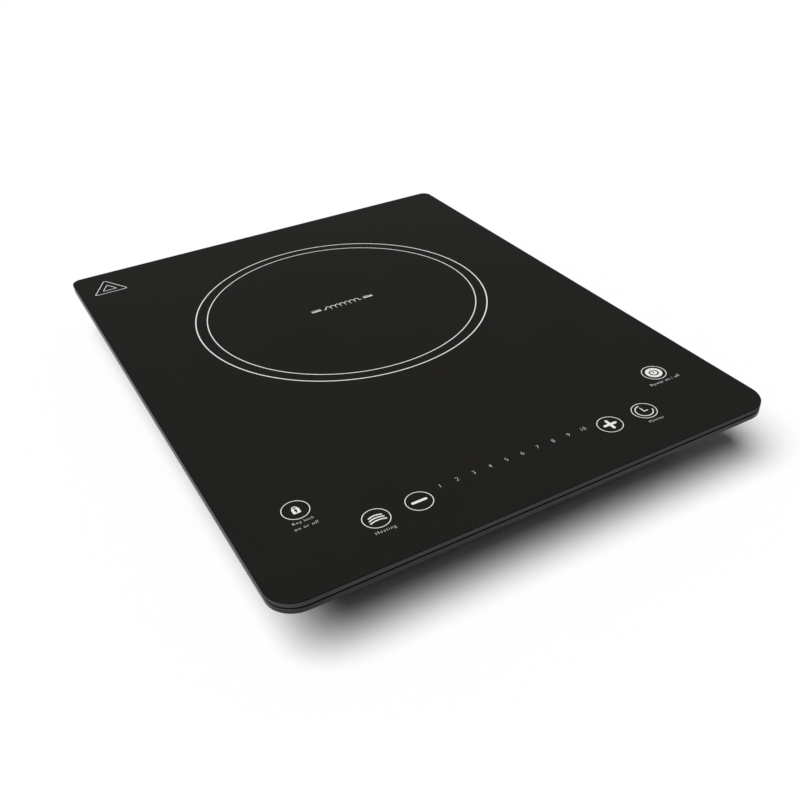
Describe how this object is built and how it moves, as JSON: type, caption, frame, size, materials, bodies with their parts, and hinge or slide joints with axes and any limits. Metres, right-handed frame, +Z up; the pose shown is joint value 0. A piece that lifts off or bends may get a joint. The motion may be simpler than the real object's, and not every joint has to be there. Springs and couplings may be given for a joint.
{
  "type": "induction cooktop",
  "caption": "Slim portable induction cooktop: black glass plate over a drafted housing, coil, power and touch boards and a cooling fan.",
  "frame": {"origin": "on the worktop under the middle of the glass plate", "axes": "+X to the cook's right, +Y away from the cook towards the cord inlet, +Z up out of the cooking surface"},
  "size_m": [0.285, 0.37, 0.042],
  "materials": {
    "black_glass": "glossy, opaque black with fine pale printing",
    "brass_post": "plain brass",
    "capacitor_sleeve": "heat-shrunk sleeve",
    "chip_body": "moulded epoxy",
    "circuit_board": "green solder mask",
    "fan_plastic": "black moulding",
    "ferrite": "sintered dark grey",
    "film_capacitor": "moulded box",
    "former_plastic": "natural heat-proof moulding",
    "frame_plastic": "fine-grained black moulding",
    "fuse_ceramic": "ceramic tube and plated caps",
    "housing_plastic": "textured black moulding",
    "lead_sleeve": "woven heat-proof sleeve",
    "light_body": "clear epoxy",
    "litz_copper": "enamelled stranded copper",
    "mains_film": "moulded box",
    "mica": "pressed mica, silky",
    "ribbon_sleeve": "flat pale sleeve",
    "sealant": "matt black silicone",
    "sensor_foam": "conductive foam",
    "sensor_glass": "glass-coated bead",
    "shaft_steel": "ground steel",
    "sink_aluminium": "extruded, mill finish",
    "soft_rubber": "soft matt black",
    "stator_steel": "stacked laminations",
    "terminal_plastic": "moulded nylon",
    "transformer_tape": "taped winding",
    "varistor_coat": "dipped coating",
    "zinc_screw": "zinc-plated steel"
  },
  "bodies": {
    "case": {"bridge_rectifier": "chip_body", "buzzer": "chip_body", "case_screws": "zinc_screw", "chip_screws": "zinc_screw", "coil_former": "former_plastic", "coil_lead_inner": "lead_sleeve", "coil_lead_outer": "lead_sleeve", "coil_posts": "brass_post", "coil_screws": "zinc_screw", "coil_winding": "litz_copper", "control_board": "circuit_board", "control_board_screws": "zinc_screw", "cord_bushing": "soft_rubber", "cord_clamp": "housing_plastic", "cord_clamp_screws": "zinc_screw", "fan_bearing": "brass_post", "fan_frame": "fan_plastic", "fan_lead": "lead_sleeve", "fan_screws": "zinc_screw", "fan_stator": "stator_steel", "ferrite_bars": "ferrite", "filter_choke": "litz_copper", "foot_front_left": "soft_rubber", "foot_front_right": "soft_rubber", "foot_rear_left": "soft_rubber", "foot_rear_right": "soft_rubber", "fuse": "fuse_ceramic", "glass_plate": "black_glass", "glass_sensor": "sensor_glass", "heat_sink": "sink_aluminium", "level_lights": "light_body", "light_shield": "housing_plastic", "link_capacitor": "film_capacitor", "lower_housing": "housing_plastic", "mains_capacitor": "mains_film", "mica_sheet": "mica", "power_board": "circuit_board", "power_board_screws": "zinc_screw", "power_transistor": "chip_body", "resonance_capacitor": "film_capacitor", "ribbon_cable": "ribbon_sleeve", "sensor_holder": "sealant", "sensor_lead": "lead_sleeve", "silicone_bead": "sealant", "smoothing_capacitors": "capacitor_sleeve", "supply_transformer": "transformer_tape", "terminal_block": "terminal_plastic", "touch_sensor_level": "sensor_foam", "touch_sensor_lock": "sensor_foam", "touch_sensor_minus": "sensor_foam", "touch_sensor_plus": "sensor_foam", "touch_sensor_power": "sensor_foam", "touch_sensor_timer": "sensor_foam", "upper_frame": "frame_plastic", "varistor": "varistor_coat"},
    "fan_rotor": {"fan_impeller": "fan_plastic", "fan_magnet": "ferrite", "fan_shaft": "shaft_steel", "fan_clip": "housing_plastic"}
  },
  "joints": [
    {"name": "fan_spin", "type": "hinge", "parent": "case", "child": "fan_rotor", "pos_m": [0.062, -0.078, 0.0175], "axis": [0, 0, 1], "continuous": true}
  ]
}
